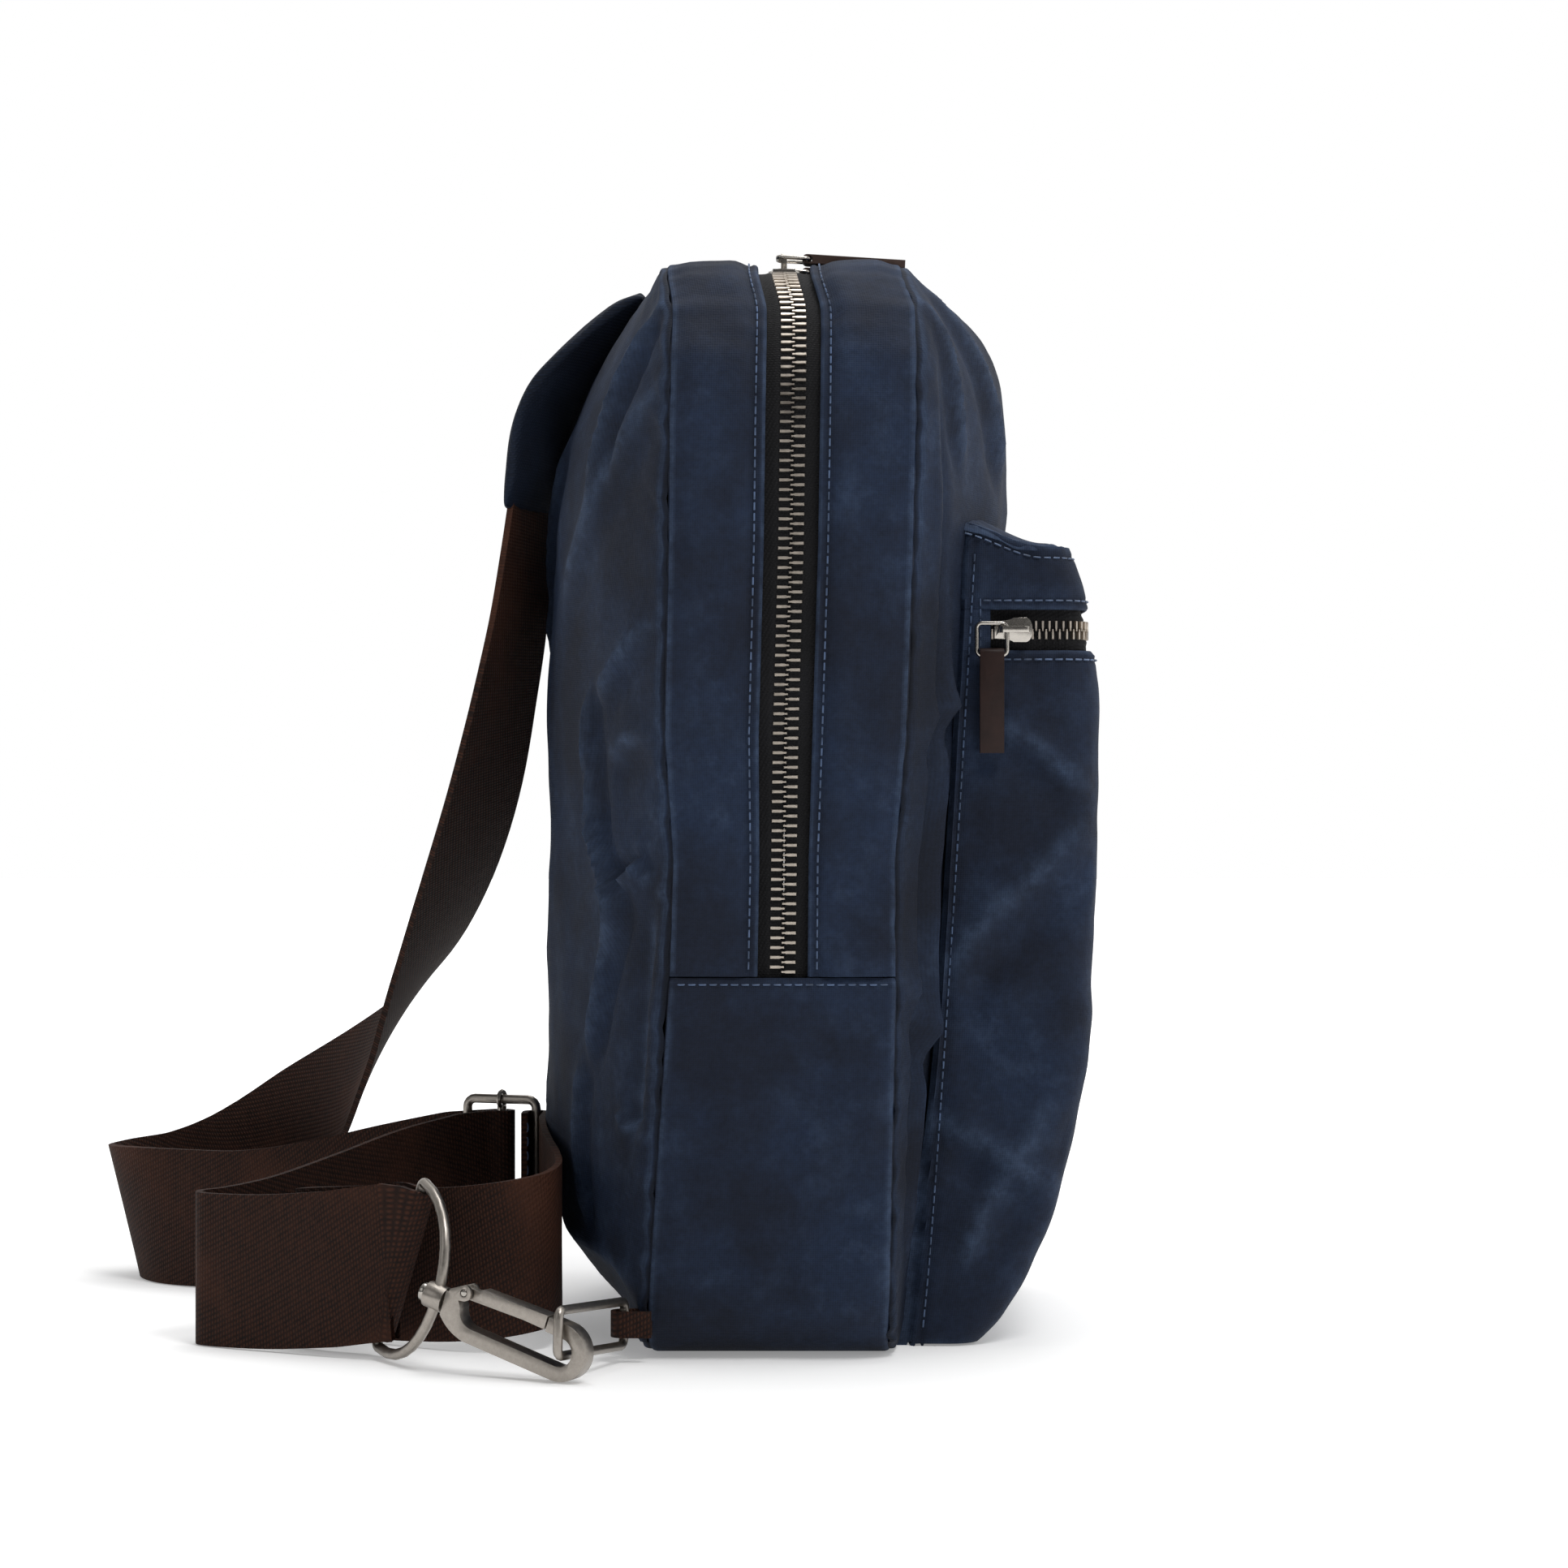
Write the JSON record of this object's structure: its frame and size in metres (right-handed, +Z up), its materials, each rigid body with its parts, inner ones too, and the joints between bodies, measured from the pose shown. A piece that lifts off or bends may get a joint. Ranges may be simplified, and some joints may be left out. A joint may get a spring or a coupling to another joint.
{
  "type": "messenger_bag",
  "caption": "Crossbody canvas bag with a wrap-round main zip, a zipped front pocket, a padded webbing shoulder strap, slide adjuster and swivel snap hook on a side ring.",
  "frame": {"origin": "centre of the flat base between the two gusset seams", "axes": "+X towards the front pocket, +Y across the back from the strap-hook side, +Z up"},
  "size_m": [0.3565, 0.2902, 0.3622],
  "materials": {
    "canvas": "waxed cotton canvas, matt, mottled navy",
    "lining": "plain woven lining",
    "foam": "closed-cell foam padding",
    "zip_tape": "woven zip tape, black",
    "nickel": "bright nickel plate on cast zinc and brass",
    "satin_nickel": "satin nickel plate on cast zinc and steel wire",
    "webbing": "heavy twill webbing, dark brown",
    "leather": "smooth dark brown leather, waxed edges"
  },
  "bodies": {
    "bag": {"back_panel": "canvas", "front_panel": "canvas", "gusset_zip_strip_back": "canvas", "gusset_zip_strip_front": "canvas", "gusset_lower": "canvas", "pocket_shell": "canvas", "pad_cover_outer": "canvas", "pad_cover_inner": "canvas", "lining_back": "lining", "lining_front": "lining", "lining_gusset_back": "lining", "lining_gusset_front": "lining", "lining_gusset_lower": "lining", "back_foam": "foam", "pad_foam": "foam", "main_zip_tape_back": "zip_tape", "main_zip_tape_front": "zip_tape", "pocket_zip_tape_upper": "zip_tape", "pocket_zip_tape_lower": "zip_tape", "main_zip_chain": "nickel", "pocket_zip_chain": "nickel", "adjuster_frame": "satin_nickel", "adjuster_bar": "satin_nickel", "strap_webbing": "webbing", "corner_tab": "webbing"},
    "main_near_slider": {"main_zip_near_slider": "nickel"},
    "main_near_pull": {"main_zip_near_bail": "nickel", "main_zip_near_pull": "leather"},
    "main_far_slider": {"main_zip_far_slider": "nickel"},
    "main_far_pull": {"main_zip_far_bail": "nickel", "main_zip_far_pull": "leather"},
    "pocket_slider": {"pocket_zip_slider": "nickel"},
    "pocket_pull": {"pocket_zip_bail": "nickel", "pocket_zip_pull": "leather"},
    "side_ring": {"corner_ring": "satin_nickel"},
    "strap_ring": {"d_ring": "satin_nickel"},
    "snap_hook": {"swivel_rivet": "nickel", "hook_body": "satin_nickel", "gate_pin": "nickel"},
    "gate": {"hook_gate": "satin_nickel"}
  },
  "joints": [
    {"name": "main_near_zip_travel", "type": "slide", "parent": "bag", "child": "main_near_slider", "axis": [0, -1, 0], "range_m": [0, 0.003]},
    {"name": "main_near_pull_turn", "type": "hinge", "parent": "main_near_slider", "child": "main_near_pull", "pos_m": [0, -0.0549, 0.3597], "axis": [-0.9986, 0, 0.0523], "range_deg": [0, 170]},
    {"name": "main_far_zip_travel", "type": "slide", "parent": "bag", "child": "main_far_slider", "axis": [0, 1, 0], "range_m": [0, 0.086]},
    {"name": "main_far_pull_turn", "type": "hinge", "parent": "main_far_slider", "child": "main_far_pull", "pos_m": [0, -0.0321, 0.3597], "axis": [0.9986, 0, -0.0523], "range_deg": [0, 170]},
    {"name": "pocket_zip_travel", "type": "slide", "parent": "bag", "child": "pocket_slider", "axis": [1, 0, 0], "range_m": [0, 0.0075]},
    {"name": "pocket_pull_turn", "type": "hinge", "parent": "pocket_slider", "child": "pocket_pull", "pos_m": [0.07294, -0.0866, 0.235], "axis": [0, 0, 1], "range_deg": [0, 170]},
    {"name": "side_ring_swing", "type": "hinge", "parent": "bag", "child": "side_ring", "pos_m": [-0.051, -0.116, 0.0125], "axis": [0, 0, 1], "range_deg": [-3, 0]},
    {"name": "strap_ring_swing", "type": "hinge", "parent": "bag", "child": "strap_ring", "pos_m": [-0.123, -0.111, 0.0309], "axis": [0.2799, -0.1, 0.9548], "range_deg": [0, 6]},
    {"name": "hook_swivel", "type": "hinge", "parent": "strap_ring", "child": "snap_hook", "pos_m": [-0.10861, -0.13755, 0.0239], "axis": [0.8633, -0.4032, -0.3034], "range_deg": [-8, 4.5]},
    {"name": "gate_lever", "type": "hinge", "parent": "snap_hook", "child": "gate", "pos_m": [-0.09849, -0.14228, 0.02601], "axis": [0.4232, 0.906, 0], "range_deg": [0, 14], "stiffness_Nm_per_rad": 0.02, "springref_deg": -8.59}
  ]
}
